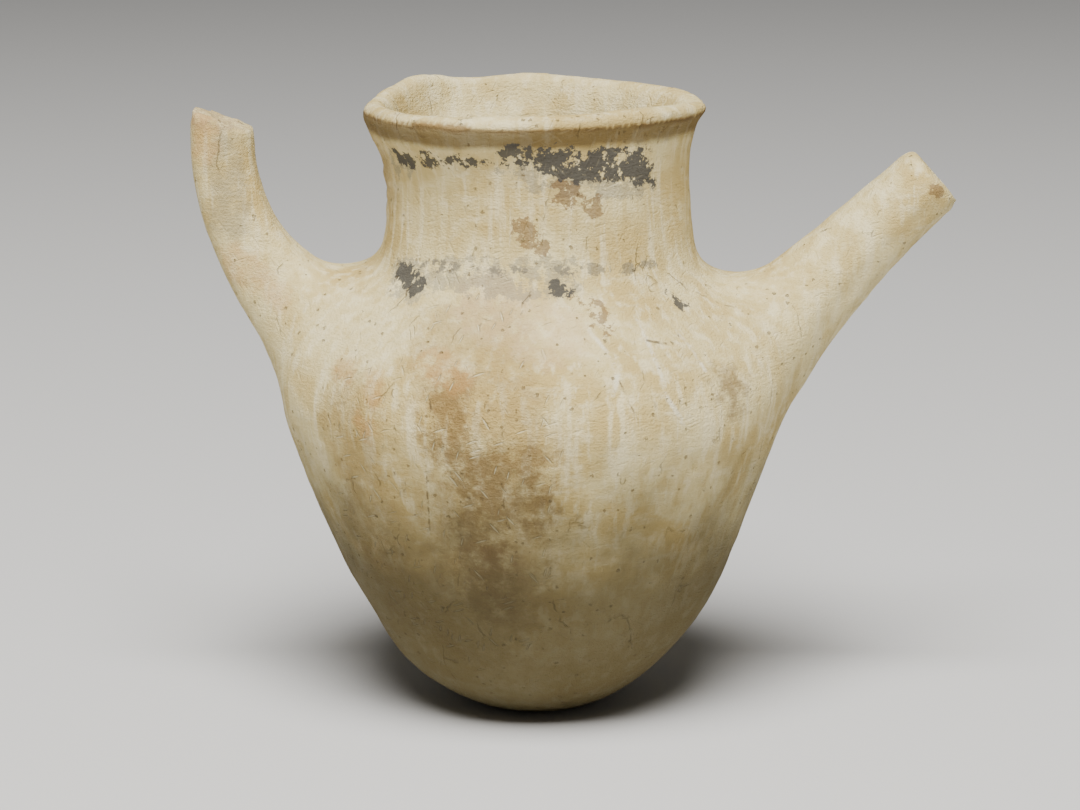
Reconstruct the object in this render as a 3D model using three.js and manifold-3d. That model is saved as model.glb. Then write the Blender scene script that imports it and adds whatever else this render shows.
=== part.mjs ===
// Spouted cup: a hand-made pottery jar with a wide neck, a tubular spout and a broken handle.
// Millimetres, +Z up. The origin is the centre of the flat underside, +X points to the spout.
import * as THREE from 'three';
import { mergeVertices } from 'three/addons/utils/BufferGeometryUtils.js';
import Module from 'manifold-3d';

// Driving sizes of the vessel
const footRadius = 12;
const bellyRadius = 61.6;
const bellyHeight = 79;
const waistRadius = 37.3;
const waistHeight = 130;
const lipRadius = 42.3;
const rimHeight = 154;
const lipRise = 2.8;
const lipHeight = rimHeight - lipRise;
const wallThickness = 5.6;
const floorThickness = 8;

// Driving sizes of the spout
const spoutReach = 98.5;
const spoutTipHeight = 134.1;
const spoutTipRadius = 9.1;
const spoutRootRadius = 18.5;
const spoutBow = 3.5;
const spoutRootDepth = 17.6;
const spoutWall = 4.9;
const spoutBoreFlare = 1.8;
const spoutTipRounding = 1.1;

// Driving sizes of the handle's stub
const handleReach = 77.4;
const handleTopHeight = 148.7;
const handleThickness = 15.5;
const handleDepth = 16.6;
const handleRootGrowth = 25;
const handleRootDepth = 13.6;
const breakSlope = 2.4;
const breakHollow = 0.9;

// Clay pressed into the corners where the spout and the handle join the body
const spoutFillet = { edge: 14, flank: 30 };
const handleFillet = { edge: 11, flank: 27 };

// How the joints are rubbed smooth: how deep and how far from the joint, and how strongly and often
const rubDepth = 1.5;
const rubReach = 13;
const rubStrength = 0.6;
const rubPasses = 6;

// The shares of the wall's length, from the foot up, between which the inside follows the outside
const innerLowest = 0.17;
const innerHighest = 0.97;
const floorBlendEnd = 0.4;

// How far the lip sags towards the handle
const lipSag = 2.4;

// The spout's taper, the long facets trimmed on its under side, and where its tip begins to round
const spoutTaperPower = 1.92;
const facetTurns = [2.05, 2.8, 3.5, 4.25];
const facetHalfWidth = 0.5;
const facetShare = 0.955;
const tipRoundingStart = 0.965;

// The shallow groove along the handle, and where along it the clay bends into the break
const grooveShare = 0.05;
const breakStart = 0.8;

// Chips on the spout's end: the turn about its way from the upper side, and the radius
const tipChips = [[-0.35, 1.5], [-1.5, 1.9]];
const chipOverhang = 0.4;

// How many flat facets stand for the round forms
const turnFacets = 64;
const bodyRings = 30;
const innerRings = 17;
const spoutSides = 22;
const handleSides = 20;
const sweepRings = 17;
const boreSides = 14;

const wasm = await Module();
wasm.setup();

// A smooth value between the rows of a short table of [place, value]
function between(rows, place) {
  const last = rows.length - 1;
  if (place <= rows[0][0]) return rows[0][1];
  if (place >= rows[last][0]) return rows[last][1];
  const next = rows.findIndex((row) => row[0] > place);
  const [fromPlace, fromValue] = rows[next - 1];
  const [toPlace, toValue] = rows[next];
  const share = (place - fromPlace) / (toPlace - fromPlace);
  const eased = (1 - Math.cos(Math.PI * share)) / 2;
  return fromValue + (toValue - fromValue) * eased;
}

// The outer wall from the foot to the underside of the lip. The lower rows are shares of the belly's
// height and radius, and the upper rows run from the belly (0, 1) to the neck's waist (1, 0).
function outerWallCurve() {
  const lower = [[0, footRadius / bellyRadius], [0.02, 0.275], [0.055, 0.363], [0.115, 0.47], [0.2, 0.576],
    [0.315, 0.674], [0.45, 0.766], [0.6, 0.847], [0.75, 0.916], [0.88, 0.969], [1, 1]];
  const upper = [[0.13, 0.98], [0.25, 0.88], [0.36, 0.71], [0.46, 0.5], [0.54, 0.33], [0.62, 0.18],
    [0.71, 0.075], [0.84, 0.02], [1, 0]];
  const flare = [[0.3, 0.04], [0.55, 0.18], [0.75, 0.47], [0.88, 0.8]];
  const knots = lower.map(([up, out]) => new THREE.Vector2(out * bellyRadius, up * bellyHeight));
  const taper = bellyRadius - waistRadius;
  for (const [up, out] of upper) {
    const height = bellyHeight + up * (waistHeight - bellyHeight);
    knots.push(new THREE.Vector2(waistRadius + out * taper, height));
  }
  for (const [up, out] of flare) {
    const height = waistHeight + up * (lipHeight - waistHeight);
    knots.push(new THREE.Vector2(waistRadius + out * (lipRadius - waistRadius), height));
  }
  return new THREE.SplineCurve(knots);
}

// The rounded lip, from its widest place over the crest to the wall inside the neck
function lipPoints() {
  const rise = rimHeight - lipHeight;
  const rows = [[0.05, -0.35], [0, 0.05], [0.06, 0.5], [0.3, 0.87], [0.6, 1], [0.92, 0.82], [1.12, 0.3]];
  return rows.map(([inward, up]) => new THREE.Vector2(lipRadius - inward * wallThickness, lipHeight + up * rise));
}

// The inner wall lies one wall's thickness inside the outer one, and is thicker towards the floor
function innerWallPoints(curve) {
  const points = [];
  for (let step = innerRings; step >= 0; step -= 1) {
    const along = innerLowest + (innerHighest - innerLowest) * (step / innerRings);
    const tangent = curve.getTangentAt(along);
    const thickening = between([[innerLowest, floorThickness - wallThickness], [floorBlendEnd, 0]], along);
    const point = curve.getPointAt(along);
    const inward = new THREE.Vector2(-tangent.y, tangent.x);
    points.push(point.addScaledVector(inward, wallThickness + thickening));
  }
  return points;
}

// Where the middle of the body leans to, at each share of its height, because it was shaped by hand
function leanAt(height) {
  const rows = [[0, -0.2], [0.065, -0.8], [0.182, 0.5], [0.273, 0], [0.403, -0.8], [0.682, 0], [0.818, 0.2],
    [0.909, -0.5], [0.974, -1.7]];
  return between(rows, height / rimHeight);
}

// How far up the neck a height lies, from 0 at the waist to 1 at the lip
function upNeck(height) {
  return (height - waistHeight) / (lipHeight - waistHeight);
}

// How far the wall swells or sinks at a turn about the upright axis
function swellAt(turn, height) {
  const fade = between([[0.025, 0], [0.38, 1]], height / bellyHeight);
  const slow = 0.35 * Math.sin(2 * turn + 0.7) + 0.25 * Math.sin(3 * turn - height / 29);
  const quick = 0.22 * Math.sin(7 * turn + height / 9) + 0.16 * Math.cos(11 * turn - height / 14);
  const mouth = 1.2 * Math.cos(3 * turn) * between([[0.38, 0], [0.94, 1]], upNeck(height));
  return fade * (slow + quick) + mouth;
}

// The uneven crest: height above the even rim at each turn, in degrees from the spout
function crestAt(turn) {
  const degrees = ((turn * 180) / Math.PI + 360) % 360;
  const rows = [[0, -1.2], [30, -0.3], [66, 0.4], [90, 1], [113, 0.2], [135, 1.9], [153, 0], [171, -1.2],
    [200, -1.1], [225, -0.8], [270, 0], [316, 0.3], [340, -0.3], [360, -1.2]];
  return between(rows, degrees);
}

// The lip sits higher on the spout's side and sags on the handle's side
function lipShiftAt(turn, height) {
  const below = between([[0.14, 0], [0.71, 1], [1, 0.45]], upNeck(height));
  const above = between([[lipHeight, 1], [rimHeight, 0]], height);
  return lipSag * Math.cos(turn) * below * above;
}

// Moves a point of the true round vessel to its place on the hand-shaped one
function handShaped(point) {
  const radius = Math.hypot(point.x, point.y);
  const turn = Math.atan2(point.y, point.x);
  const away = between([[0, 0], [footRadius, 1]], radius);
  const shaped = radius + away * swellAt(turn, point.z);
  const crest = crestAt(turn) * between([[lipHeight - 3, 0], [rimHeight, 1]], point.z);
  const lift = crest + lipShiftAt(turn, point.z);
  const lean = leanAt(point.z);
  return new THREE.Vector3(shaped * Math.cos(turn) + lean, shaped * Math.sin(turn), point.z + lift);
}

// The outward way of a turned wall whose profile runs along a tangent
function wallOutward(tangent, turn) {
  return new THREE.Vector3(tangent.y * Math.cos(turn), tangent.y * Math.sin(turn), -tangent.x);
}

// The gap between a point and the round body, negative inside it, and the body's outward way there
const wallCurve = outerWallCurve();
const wallSamples = wallCurve.getSpacedPoints(90);
function bodyGap(point) {
  const x = point.x - leanAt(point.z);
  const spot = new THREE.Vector2(Math.hypot(x, point.y), point.z);
  let nearest = { gap: Infinity };
  for (let index = 1; index < wallSamples.length; index += 1) {
    const start = wallSamples[index - 1];
    const edge = wallSamples[index].clone().sub(start);
    const offset = spot.clone().sub(start);
    const along = THREE.MathUtils.clamp(offset.dot(edge) / edge.lengthSq(), 0, 1);
    const side = Math.sign(offset.cross(edge));
    const gap = offset.addScaledVector(edge, -along).length();
    if (gap < Math.abs(nearest.gap)) nearest = { gap: side * gap, tangent: edge.normalize() };
  }
  return { gap: nearest.gap, outward: wallOutward(nearest.tangent, Math.atan2(point.y, x)) };
}

// A rounded corner between two forms: how far each surface rises at its gap to the other one. It
// reaches further on the flanks, and fades where the two surfaces face the same way.
function filletRise(fillet, angle, gap, outward, otherOutward) {
  const reach = fillet.edge + (fillet.flank - fillet.edge) * Math.sin(angle) ** 2;
  const share = THREE.MathUtils.clamp(gap / reach, 0.25, 1);
  const facing = Math.max(0, outward.dot(otherOutward));
  return (1 - facing) * reach * (1 - Math.sqrt(share)) ** 2;
}

// The spout runs almost straight from inside the body's wall to its tip
const spoutRoot = new THREE.Vector3(bellyRadius - spoutRootDepth, 0, bellyHeight);
const spoutTip = new THREE.Vector3(spoutReach, 0, spoutTipHeight);
const spoutMiddle = spoutRoot.clone().lerp(spoutTip, 0.5);
spoutMiddle.z += spoutBow;
const spoutPath = new THREE.QuadraticBezierCurve3(spoutRoot, spoutMiddle, spoutTip);

// The spout's radius shrinks from the flared root to the tip
function spoutRadiusAt(along) {
  return spoutTipRadius + (spoutRootRadius - spoutTipRadius) * (1 - along) ** spoutTaperPower;
}

// The spout is round above, and trimmed below to long facets
function spoutSection(along, angle) {
  let share = 1;
  for (const facet of facetTurns) {
    const offset = Math.abs(angle - facet);
    if (offset < facetHalfWidth) share = Math.min(share, facetShare / Math.cos(offset));
  }
  const nearTip = Math.max(0, (along - tipRoundingStart) / (1 - tipRoundingStart));
  const rounding = spoutTipRounding * nearTip ** 2;
  const radius = spoutRadiusAt(along) * share - rounding;
  return [radius, radius];
}

// The handle swings up and out from the shoulder, from inside the wall to the break
const handlePath = new THREE.CubicBezierCurve3(
  new THREE.Vector3(handleRootDepth - bellyRadius, 0, bellyHeight * 1.1),
  new THREE.Vector3(-handleReach * 0.795, 0, bellyHeight * 1.285),
  new THREE.Vector3(-handleReach * 1.027, 0, handleTopHeight * 0.795),
  new THREE.Vector3(-handleReach, 0, handleTopHeight),
);

// The handle's section is a rounded rectangle that spreads towards the root, most on its under side
function handleSection(along, angle) {
  const growthShare = 0.55 + 0.36 * (1 - Math.cos(angle));
  const growth = handleRootGrowth * growthShare * (1 - along) ** 3;
  const across = (handleThickness + growth) / 2;
  const deep = (handleDepth + growth) / 2;
  const corner = 1 / (Math.abs(Math.cos(angle)) ** 3 + Math.abs(Math.sin(angle)) ** 3) ** (1 / 3);
  const groove = 1 - grooveShare * Math.max(0, -Math.cos(2 * angle));
  return [across * corner * groove, deep * corner * groove];
}

// A frame on a path: the place, the way along it and the upper side square to it
function pathFrame(path, along) {
  const place = path.getPointAt(along);
  const way = path.getTangentAt(along);
  return { along, place, way, upper: new THREE.Vector3(-way.z, 0, way.x) };
}

// Frames at even steps along a path
function pathFrames(path) {
  const steps = 40;
  return Array.from({ length: steps + 1 }, (_, step) => pathFrame(path, step / steps));
}

const spoutFrames = pathFrames(spoutPath);
const handleFrames = pathFrames(handlePath);

// The gap between a point and a swept form, negative inside it, with the form's outward way there
function sweptGap(frames, section, point) {
  let nearest = frames[0];
  for (const frame of frames) {
    if (frame.place.distanceToSquared(point) < nearest.place.distanceToSquared(point)) nearest = frame;
  }
  const offset = point.clone().sub(nearest.place);
  const angle = (Math.atan2(offset.y, offset.dot(nearest.upper)) + 2 * Math.PI) % (2 * Math.PI);
  const [across, deep] = section(nearest.along, angle);
  const surface = Math.hypot(across * Math.cos(angle), deep * Math.sin(angle));
  return { gap: offset.length() - surface, angle, outward: offset.normalize() };
}

// How far the body's wall rises at a point to meet a swept form
function riseTowards(frames, section, fillet, point, outward) {
  const form = sweptGap(frames, section, point);
  return filletRise(fillet, form.angle, form.gap, outward, form.outward);
}

// Turns a closed geometry into a solid for joining and cutting
function toSolid(geometry) {
  geometry.deleteAttribute('normal');
  geometry.deleteAttribute('uv');
  const merged = mergeVertices(geometry, 1e-3);
  const index = merged.getIndex().array;
  const corners = [];
  for (let start = 0; start < index.length; start += 3) {
    const [first, second, third] = index.slice(start, start + 3);
    if (first !== second && second !== third && third !== first) corners.push(first, second, third);
  }
  const vertProperties = new Float32Array(merged.getAttribute('position').array);
  return new wasm.Manifold(new wasm.Mesh({ numProp: 3, vertProperties, triVerts: new Uint32Array(corners) }));
}

// Turns a solid back into a geometry
function toGeometry(solid) {
  const { vertProperties, triVerts } = solid.getMesh();
  const geometry = new THREE.BufferGeometry();
  geometry.setAttribute('position', new THREE.BufferAttribute(vertProperties, 3));
  geometry.setIndex(new THREE.BufferAttribute(triVerts, 1));
  geometry.computeVertexNormals();
  return geometry;
}

// Moves every vertex of a geometry by a function of its place and number
function reshape(geometry, move) {
  const positions = geometry.getAttribute('position');
  const point = new THREE.Vector3();
  for (let index = 0; index < positions.count; index += 1) {
    point.fromBufferAttribute(positions, index);
    const moved = move(point.clone(), index);
    positions.setXYZ(index, moved.x, moved.y, moved.z);
  }
  return geometry;
}

// Turns a profile about the upright axis
function turned(profile) {
  const geometry = new THREE.LatheGeometry(profile, turnFacets);
  geometry.rotateX(Math.PI / 2);
  return geometry;
}

// The hollow body: foot, belly, neck and lip, with the clay drawn up to the spout and the handle
function vesselSolid() {
  const outer = wallCurve.getSpacedPoints(bodyRings);
  const inner = innerWallPoints(wallCurve);
  const axisBottom = new THREE.Vector2(0, 0);
  const axisFloor = new THREE.Vector2(0, floorThickness);
  const profile = [axisBottom, ...outer, ...lipPoints(), ...inner, axisFloor];
  const geometry = turned(profile);
  reshape(geometry, (point, index) => {
    const ring = index % profile.length;
    if (ring < 2 || ring > outer.length) return handShaped(point);
    const tangent = wallCurve.getTangentAt((ring - 1) / bodyRings);
    const turn = Math.atan2(point.y, point.x);
    const outward = wallOutward(tangent, turn);
    const rise = Math.max(
      riseTowards(spoutFrames, spoutSection, spoutFillet, point, outward),
      riseTowards(handleFrames, handleSection, handleFillet, point, outward),
    );
    return handShaped(point).addScaledVector(outward, rise);
  });
  return toSolid(geometry);
}

// A solid whose skin lies in the middle of the vessel's wall, to keep the joined pieces out of the inside
function wallCore() {
  const outer = wallCurve.getSpacedPoints(bodyRings);
  const profile = [new THREE.Vector2(0, floorThickness / 2)];
  for (let ring = 3; ring <= bodyRings; ring += 1) {
    const tangent = wallCurve.getTangentAt(ring / bodyRings);
    const inward = new THREE.Vector2(-tangent.y, tangent.x);
    profile.push(outer[ring].clone().addScaledVector(inward, wallThickness / 2));
  }
  profile.push(new THREE.Vector2(0, profile.at(-1).y));
  return toSolid(reshape(turned(profile), handShaped));
}

// Bends an upright cylinder along a path, with a section that varies on the way
function swept(path, sides, section, finish) {
  const geometry = new THREE.CylinderGeometry(1, 1, 1, sides, sweepRings);
  return reshape(geometry, (point) => {
    const along = THREE.MathUtils.clamp(point.y + 0.5, 0, 1);
    const { place, way, upper } = pathFrame(path, along);
    const angle = (Math.atan2(point.z, point.x) + 2 * Math.PI) % (2 * Math.PI);
    const [across, deep] = section(along, angle);
    const outward = upper.clone().multiplyScalar(across * point.x);
    outward.y += deep * point.z;
    return finish(place.add(outward), outward.normalize(), { along, angle, way, point });
  });
}

// The spout's clay, solid until it is bored
function spoutSolid() {
  const geometry = swept(spoutPath, spoutSides, spoutSection, (place, outward, { angle }) => {
    const body = bodyGap(place);
    const rise = filletRise(spoutFillet, angle, body.gap, outward, body.outward);
    return place.addScaledVector(outward, rise);
  });
  return toSolid(geometry);
}

// The handle's stub ends in a slanted, slightly hollow break
function handleSolid() {
  const geometry = swept(handlePath, handleSides, handleSection, (place, outward, { along, angle, way, point }) => {
    const body = bodyGap(place);
    const rise = filletRise(handleFillet, angle, body.gap, outward, body.outward);
    const nearBreak = Math.max(0, (along - breakStart) / (1 - breakStart));
    const middle = 1 - Math.hypot(point.x, point.z);
    place.addScaledVector(way, nearBreak * (breakSlope * point.x - breakHollow * middle));
    return place.addScaledVector(outward, rise);
  });
  return toSolid(geometry);
}

// The bore follows the spout from beyond its tip into the inside of the body, and widens on the way in
function spoutBore() {
  const overrun = 6;
  const tip = pathFrame(spoutPath, 1);
  const root = pathFrame(spoutPath, 0);
  const path = new THREE.CatmullRomCurve3([
    root.place.clone().addScaledVector(root.way, -overrun),
    root.place,
    spoutPath.getPointAt(0.5),
    tip.place,
    tip.place.clone().addScaledVector(tip.way, overrun),
  ]);
  const tipBoreRadius = spoutTipRadius - spoutWall;
  const section = (along) => {
    const radius = tipBoreRadius + spoutBoreFlare * (1 - along);
    return [radius, radius];
  };
  return toSolid(swept(path, boreSides, section, (place) => place));
}

// How near a point of the outer skin lies to a joint, from 0 away from it to 1 on it
function jointShare(point) {
  const body = bodyGap(point).gap;
  const spout = sweptGap(spoutFrames, spoutSection, point).gap;
  const handle = sweptGap(handleFrames, handleSection, point).gap;
  const form = Math.min(spout, handle);
  if (body < -rubDepth || form < -rubDepth) return 0;
  return THREE.MathUtils.clamp(1 - Math.max(body, form) / rubReach, 0, 1);
}

// The vertices that share an edge with each vertex
function neighboursOf(corners, count) {
  const neighbours = Array.from({ length: count }, () => new Set());
  for (let start = 0; start < corners.length; start += 3) {
    for (let side = 0; side < 3; side += 1) {
      const from = corners[start + side];
      const to = corners[start + ((side + 1) % 3)];
      neighbours[from].add(to);
      neighbours[to].add(from);
    }
  }
  return neighbours;
}

// Rubs the joints smooth, as wet clay is: each vertex near one moves towards the middle of its neighbours
function rubbed(geometry) {
  const positions = geometry.getAttribute('position');
  const placeOf = (_, index) => new THREE.Vector3().fromBufferAttribute(positions, index);
  const places = Array.from({ length: positions.count }, placeOf);
  const shares = places.map(jointShare);
  const neighbours = neighboursOf(geometry.getIndex().array, positions.count);
  for (let pass = 0; pass < rubPasses; pass += 1) {
    const middles = neighbours.map((near) => {
      const middle = new THREE.Vector3();
      for (const index of near) middle.add(places[index]);
      return middle.divideScalar(near.size);
    });
    places.forEach((place, index) => place.lerp(middles[index], rubStrength * shares[index]));
  }
  return reshape(geometry, (point, index) => places[index]);
}

// A small chip knocked out of an edge
function chip(place, radius) {
  const geometry = new THREE.IcosahedronGeometry(radius, 0);
  geometry.translate(place.x, place.y, place.z);
  return toSolid(geometry);
}

// The chips on the spout's end
function spoutChips() {
  const { place, way, upper } = pathFrame(spoutPath, 1);
  return tipChips.map(([turn, radius]) => {
    const outward = upper.clone().multiplyScalar(Math.cos(turn) * spoutTipRadius);
    outward.y += Math.sin(turn) * spoutTipRadius;
    return chip(place.clone().add(outward).addScaledVector(way, chipOverhang), radius);
  });
}

// The whole cup is one piece of fired clay
function spoutedCup() {
  const joined = spoutSolid().add(handleSolid()).subtract(wallCore());
  let cup = vesselSolid().add(joined).subtract(spoutBore());
  for (const notch of spoutChips()) cup = cup.subtract(notch);
  const clay = new THREE.MeshStandardMaterial({ color: 0xcbbd97, roughness: 0.92, metalness: 0 });
  const mesh = new THREE.Mesh(rubbed(toGeometry(cup)), clay);
  mesh.name = 'spouted_cup';
  return mesh;
}

const group = new THREE.Group();
group.add(spoutedCup());

export default group;
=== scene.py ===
"""Looks of the spouted cup: one hand-shaped piece of fired clay on a plain pale floor.

The cup's skin is worked out again with numpy from the same driving sizes as the solid, much finer,
and gets its relief, its worn slip, its flaked paint, its stains, and painted shade under the lip and on
the lower body. Forms are in millimetres and become metres when a mesh is made. +Z is up, +X points to
the spout, and the camera looks along +Y.
"""

from __future__ import annotations

import logging
from dataclasses import dataclass, field
from enum import Enum
from typing import Sequence

import bpy
import numpy as np
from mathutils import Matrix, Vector

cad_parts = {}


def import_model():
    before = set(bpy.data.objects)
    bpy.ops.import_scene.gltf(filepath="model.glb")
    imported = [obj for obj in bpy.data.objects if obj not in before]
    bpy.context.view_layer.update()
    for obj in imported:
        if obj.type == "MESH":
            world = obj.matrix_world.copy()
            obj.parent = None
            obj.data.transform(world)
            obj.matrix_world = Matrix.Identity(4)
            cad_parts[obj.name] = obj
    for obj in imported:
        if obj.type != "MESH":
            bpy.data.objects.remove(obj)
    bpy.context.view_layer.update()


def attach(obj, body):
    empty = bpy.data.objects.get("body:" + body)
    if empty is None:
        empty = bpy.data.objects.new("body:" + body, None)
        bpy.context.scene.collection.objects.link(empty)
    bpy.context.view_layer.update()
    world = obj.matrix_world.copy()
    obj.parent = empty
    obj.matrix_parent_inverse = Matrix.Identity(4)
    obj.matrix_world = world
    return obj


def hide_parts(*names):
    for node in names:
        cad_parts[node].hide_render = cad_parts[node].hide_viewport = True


LOG = logging.getLogger("spouted_cup")
MM = 0.001
CUP_NODE = "spouted_cup"

Array = np.ndarray
Rows = Sequence[tuple[float, float]]
Ripples = Sequence[tuple[float, float, int]]
Pixel = tuple[float, float]
Shade = tuple[int, int, int]
Socket = bpy.types.NodeSocket


def between(rows: Rows, place: Array) -> Array:
    """Reads a short table smoothly: half a cosine wave leads from each row to the next.

    Args:
        rows: Pairs of place and value, with rising places.
        place: The places to read at.

    Returns:
        The values, held level beyond both ends.
    """
    places, values = np.array(rows, float).T
    held = np.clip(place, places[0], places[-1])
    index = np.clip(np.searchsorted(places, held, side="right"), 1, len(places) - 1)
    share = (held - places[index - 1]) / (places[index] - places[index - 1])
    eased = (1 - np.cos(np.pi * share)) / 2
    return values[index - 1] + (values[index] - values[index - 1]) * eased


def spaced(points: Array, count: int) -> Array:
    """Places points at even lengths along a polyline.

    Args:
        points: The polyline's points, one to a row.
        count: How many steps to make.

    Returns:
        The count + 1 points.
    """
    lengths = np.concatenate([[0], np.cumsum(np.linalg.norm(np.diff(points, axis=0), axis=1))])
    wanted = np.linspace(0, lengths[-1], count + 1)
    return np.stack([np.interp(wanted, lengths, column) for column in points.T], axis=1)


def through(knots: Array, steps: int = 24) -> Array:
    """Draws a smooth curve through its knots, the uniform Catmull-Rom cubic between each pair.

    Args:
        knots: The knots, one to a row.
        steps: How many steps lead from knot to knot.

    Returns:
        The points of the curve.
    """
    first = np.concatenate([knots[:1], knots[:-2]])
    last = np.concatenate([knots[2:], knots[-1:]])
    start, end = knots[:-1], knots[1:]
    t = np.linspace(0, 1, steps, endpoint=False)[:, None, None]
    leave, arrive = (end - first) / 2, (last - start) / 2
    curve = (2 * start - 2 * end + leave + arrive) * t**3
    curve = curve + (-3 * start + 3 * end - 2 * leave - arrive) * t**2 + leave * t + start
    return np.concatenate([curve.transpose(1, 0, 2).reshape(-1, knots.shape[1]), knots[-1:]])


def lattice_noise(points: Array, size: float, seed: int) -> Array:
    """Smooth random values: hashed numbers at a lattice's corners, blended with an S-shaped weight.

    Args:
        points: Places in millimetres, one to a row.
        size: The lattice's cell in millimetres.
        seed: Which random field to read.

    Returns:
        One value from -1 to 1 for each place.
    """
    scaled = points / size
    corner = np.floor(scaled).astype(np.int64)
    offset = scaled - corner
    weight = offset * offset * (3 - 2 * offset)
    total = np.zeros(len(points))
    for step in np.ndindex(2, 2, 2):
        cell = corner + step
        mixed = cell @ np.array([73856093, 19349663, 83492791]) + seed * 9973
        mixed = (mixed ^ (mixed >> 13)) * 1274126177 & 0x7FFFFFFF
        mixed = (mixed ^ (mixed >> 15)) * 668265263 & 0x7FFFFFFF
        value = (mixed & 0xFFFF) / 32767.5 - 1
        total += value * np.prod(np.where(step, weight, 1 - weight), axis=1)
    return total


def ripples(points: Array, rows: Ripples) -> Array:
    """Adds up smooth noises, each given by its rise, its size and its seed."""
    return sum(rise * lattice_noise(points, size, seed) for rise, size, seed in rows)


def outward_of(profile: Array) -> Array:
    """Finds the outward way at each point of a profile of radius and height that runs upwards."""
    tangent = np.gradient(profile, axis=0)
    tangent /= np.linalg.norm(tangent, axis=1, keepdims=True)
    return np.stack([tangent[:, 1], -tangent[:, 0]], axis=1)


def aside(upper: Array, angle: Array, over: Array, beside: Array) -> Array:
    """Steps away from a path, by one half-width over it and another beside it."""
    return upper * (over * np.cos(angle))[..., None] + (0, 1, 0) * (beside * np.sin(angle))[..., None]


def grid_faces(rings: int, sides: int) -> Array:
    """Joins a grid of rings into four-sided faces, closed round each ring.

    Args:
        rings: How many rings there are.
        sides: How many points each ring has.

    Returns:
        The corner numbers, one face to a row.
    """
    ring, side = np.meshgrid(np.arange(rings - 1), np.arange(sides), indexing="ij")
    here = ring * sides + side
    beside = ring * sides + (side + 1) % sides
    return np.stack([here, beside, beside + sides, here + sides], axis=-1).reshape(-1, 4)


def closed_mesh(name: str, rings: Array) -> bpy.types.Object:
    """Makes a closed skin from rings of points, with a fan of triangles over each end.

    Args:
        name: The new object's name.
        rings: Points in millimetres, shaped rings by sides by 3.

    Returns:
        The object, with its faces turned outwards.
    """
    count, sides = rings.shape[:2]
    ends = np.stack([rings[0].mean(axis=0), rings[-1].mean(axis=0)])
    points = np.concatenate([rings.reshape(-1, 3), ends]) * MM
    side = np.arange(sides)
    beside = (side + 1) % sides
    low, high = count * sides, (count - 1) * sides
    first = np.stack([np.full(sides, low), beside, side], axis=1)
    last = np.stack([np.full(sides, low + 1), high + side, high + beside], axis=1)
    skin = grid_faces(count, sides)
    mesh = bpy.data.meshes.new(name)
    mesh.from_pydata(points.tolist(), [], skin.tolist() + first.tolist() + last.tolist())
    piece = bpy.data.objects.new(name, mesh)
    bpy.context.scene.collection.objects.link(piece)
    corners = points[np.concatenate([first, last, skin[:, [0, 1, 2]], skin[:, [0, 2, 3]]])]
    volume = np.einsum("ij,ij->i", corners[:, 0], np.cross(corners[:, 1], corners[:, 2])).sum()
    if volume < 0:
        mesh.flip_normals()
    return piece


def settle(piece: bpy.types.Object) -> None:
    """Applies the modifiers of a piece, so that its mesh holds their result.

    Args:
        piece: The object to settle.
    """
    view = bpy.context.evaluated_depsgraph_get()
    result = bpy.data.meshes.new_from_object(piece.evaluated_get(view))
    piece.modifiers.clear()
    piece.data = result


def take_away(piece: bpy.types.Object, other: bpy.types.Object) -> None:
    """Cuts one closed form out of another, and settles the result.

    Args:
        piece: The form that is kept.
        other: The form that is cut out of it.
    """
    boolean = piece.modifiers.new("cut", "BOOLEAN")
    boolean.operation = "DIFFERENCE"
    boolean.solver = "EXACT"
    boolean.object = other
    settle(piece)


@dataclass
class BentPath:
    """A smooth path in the upright plane of the spout and the handle."""

    points: Array
    steps: int = 200

    def at(self, share: Array) -> tuple[Array, Array, Array]:
        """Finds places at shares of the path's length.

        Args:
            share: Shares from 0 to 1, which may run a little beyond both.

        Returns:
            The places, the ways along the path, and the upper sides square to them.
        """
        even = spaced(self.points, self.steps)
        ways = np.gradient(even, axis=0)
        ways /= np.linalg.norm(ways, axis=1, keepdims=True)
        marks = np.linspace(0, 1, len(even))
        held = np.clip(share, 0, 1)
        place = np.stack([np.interp(held, marks, column) for column in even.T], axis=-1)
        way = np.stack([np.interp(held, marks, column) for column in ways.T], axis=-1)
        length = np.linalg.norm(np.diff(even, axis=0), axis=1).sum()
        place = place + way * ((share - held) * length)[..., None]
        upper = np.stack([-way[..., 2], np.zeros_like(held), way[..., 0]], axis=-1)
        return place, way, upper


def bezier(controls: Array, steps: int = 400) -> Array:
    """Draws a Bezier curve by blending its control points again and again in pairs.

    Args:
        controls: The control points, one to a row.
        steps: How many steps to draw.

    Returns:
        The points of the curve.
    """
    t = np.linspace(0, 1, steps + 1)[:, None, None]
    level = np.broadcast_to(controls, (steps + 1, *controls.shape))
    while level.shape[1] > 1:
        level = level[:, :-1] * (1 - t) + level[:, 1:] * t
    return level[:, 0]


@dataclass
class Fillet:
    """Clay pressed into the corner between two forms, in millimetres."""

    edge: float
    flank: float

    def rise(self, angle: Array, gap: Array, outward: Array, other: Array) -> Array:
        """Works out how far a surface rises towards the other form.

        The rise is the reach times the square of one minus the root of gap over reach. It fades where
        both surfaces face the same way.

        Args:
            angle: The turn about the swept form, from its upper side.
            gap: The gap to the other form.
            outward: The outward way of this surface.
            other: The outward way of the other surface.

        Returns:
            The rise in millimetres.
        """
        reach = self.edge + (self.flank - self.edge) * np.sin(angle) ** 2
        share = np.clip(gap / reach, 0.25, 1)
        facing = np.maximum(0, np.einsum("...i,...i->...", outward, other))
        return (1 - facing) * reach * (1 - np.sqrt(share)) ** 2


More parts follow.
